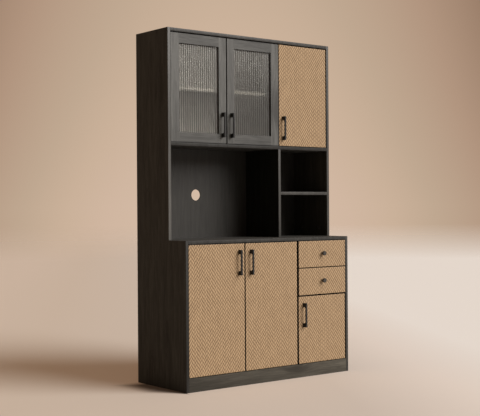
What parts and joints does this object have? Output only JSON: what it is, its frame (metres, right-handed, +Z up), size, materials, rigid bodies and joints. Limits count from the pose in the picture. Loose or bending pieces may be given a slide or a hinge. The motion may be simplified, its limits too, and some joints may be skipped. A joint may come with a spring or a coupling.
{
  "type": "kitchen cabinet",
  "caption": "Free-standing kitchen cabinet: a deeper base with doors and drawers under a hutch with an open bay, open shelves, ribbed-glass doors and a cable hole.",
  "frame": {"origin": "on the floor, under the middle of the whole box, handles included", "axes": "+X to the right of someone facing the doors, +Y to the back, +Z up"},
  "size_m": [1.09, 0.4524, 1.8],
  "materials": {
    "charcoal_board": "matt laminate with wood grain",
    "frame_board": "matt laminate with wood grain",
    "back_board": "matt laminate",
    "woven_panel": "herringbone decor, satin",
    "reeded_glass": "vertical ribs",
    "black_metal": "matt black",
    "steel": "zinc plated",
    "zinc": "die cast",
    "drawer_board": "matt laminate",
    "beech": "fluted, raw",
    "black_plastic": "moulded"
  },
  "bodies": {
    "carcase": {"base_shelf": "charcoal_board", "hutch_left_shelf": "charcoal_board", "hutch_right_shelf": "charcoal_board", "base_left_side": "charcoal_board", "base_right_side": "charcoal_board", "base_top": "charcoal_board", "base_bottom": "charcoal_board", "base_plinth": "charcoal_board", "base_back_panel": "back_board", "base_divider": "charcoal_board", "base_drawer_deck": "charcoal_board", "hutch_left_side": "charcoal_board", "hutch_right_side": "charcoal_board", "hutch_top": "charcoal_board", "hutch_deck": "charcoal_board", "hutch_back_panel": "back_board", "hutch_upper_divider": "charcoal_board", "hutch_lower_divider": "charcoal_board", "hutch_open_shelf": "charcoal_board", "cam_locks": "zinc", "cam_bolts": "steel", "seam_dowels": "beech", "tie_plates": "steel", "shelf_pins": "steel", "hinge_pins": "black_metal", "hinge_plates": "black_metal", "door_catches": "black_plastic", "drawer_slide_channels": "steel"},
    "base_left_door": {"base_left_door_hinge_leaves": "black_metal", "base_left_door_panel": "woven_panel", "base_left_door_handle": "black_metal"},
    "base_middle_door": {"base_middle_door_hinge_leaves": "black_metal", "base_middle_door_panel": "woven_panel", "base_middle_door_handle": "black_metal"},
    "base_right_door": {"base_right_door_hinge_leaves": "black_metal", "base_right_door_panel": "woven_panel", "base_right_door_handle": "black_metal"},
    "hutch_left_door": {"hutch_left_door_hinge_leaves": "black_metal", "hutch_left_door_frame": "frame_board", "hutch_left_door_pane": "reeded_glass", "hutch_left_door_clips": "black_plastic", "hutch_left_door_handle": "black_metal"},
    "hutch_middle_door": {"hutch_middle_door_hinge_leaves": "black_metal", "hutch_middle_door_frame": "frame_board", "hutch_middle_door_pane": "reeded_glass", "hutch_middle_door_clips": "black_plastic", "hutch_middle_door_handle": "black_metal"},
    "hutch_right_door": {"hutch_right_door_hinge_leaves": "black_metal", "hutch_right_door_panel": "woven_panel", "hutch_right_door_handle": "black_metal"},
    "upper_drawer": {"upper_drawer_front": "woven_panel", "upper_drawer_box": "drawer_board", "upper_drawer_bottom": "drawer_board", "upper_drawer_slide_bars": "steel", "upper_drawer_knob": "black_metal"},
    "lower_drawer": {"lower_drawer_front": "woven_panel", "lower_drawer_box": "drawer_board", "lower_drawer_bottom": "drawer_board", "lower_drawer_slide_bars": "steel", "lower_drawer_knob": "black_metal"}
  },
  "joints": [
    {"name": "base_left_door_hinge", "type": "hinge", "parent": "carcase", "child": "base_left_door", "pos_m": [-0.519, -0.19525, 0.3965], "axis": [0, 0, -1], "range_deg": [0, 95]},
    {"name": "base_middle_door_hinge", "type": "hinge", "parent": "carcase", "child": "base_middle_door", "pos_m": [0.1705, -0.19525, 0.3965], "axis": [0, 0, 1], "range_deg": [0, 90]},
    {"name": "base_right_door_hinge", "type": "hinge", "parent": "carcase", "child": "base_right_door", "pos_m": [0.519, -0.19525, 0.249], "axis": [0, 0, 1], "range_deg": [0, 95]},
    {"name": "hutch_left_door_hinge", "type": "hinge", "parent": "carcase", "child": "hutch_left_door", "pos_m": [-0.519, -0.05125, 1.505], "axis": [0, 0, -1], "range_deg": [0, 95]},
    {"name": "hutch_middle_door_hinge", "type": "hinge", "parent": "carcase", "child": "hutch_middle_door", "pos_m": [0.1725, -0.05125, 1.505], "axis": [0, 0, 1], "range_deg": [0, 90]},
    {"name": "hutch_right_door_hinge", "type": "hinge", "parent": "carcase", "child": "hutch_right_door", "pos_m": [0.519, -0.05125, 1.505], "axis": [0, 0, 1], "range_deg": [0, 95]},
    {"name": "upper_drawer_slide", "type": "slide", "parent": "carcase", "child": "upper_drawer", "axis": [0, -1, 0], "range_m": [0, 0.26]},
    {"name": "lower_drawer_slide", "type": "slide", "parent": "carcase", "child": "lower_drawer", "axis": [0, -1, 0], "range_m": [0, 0.26]}
  ]
}
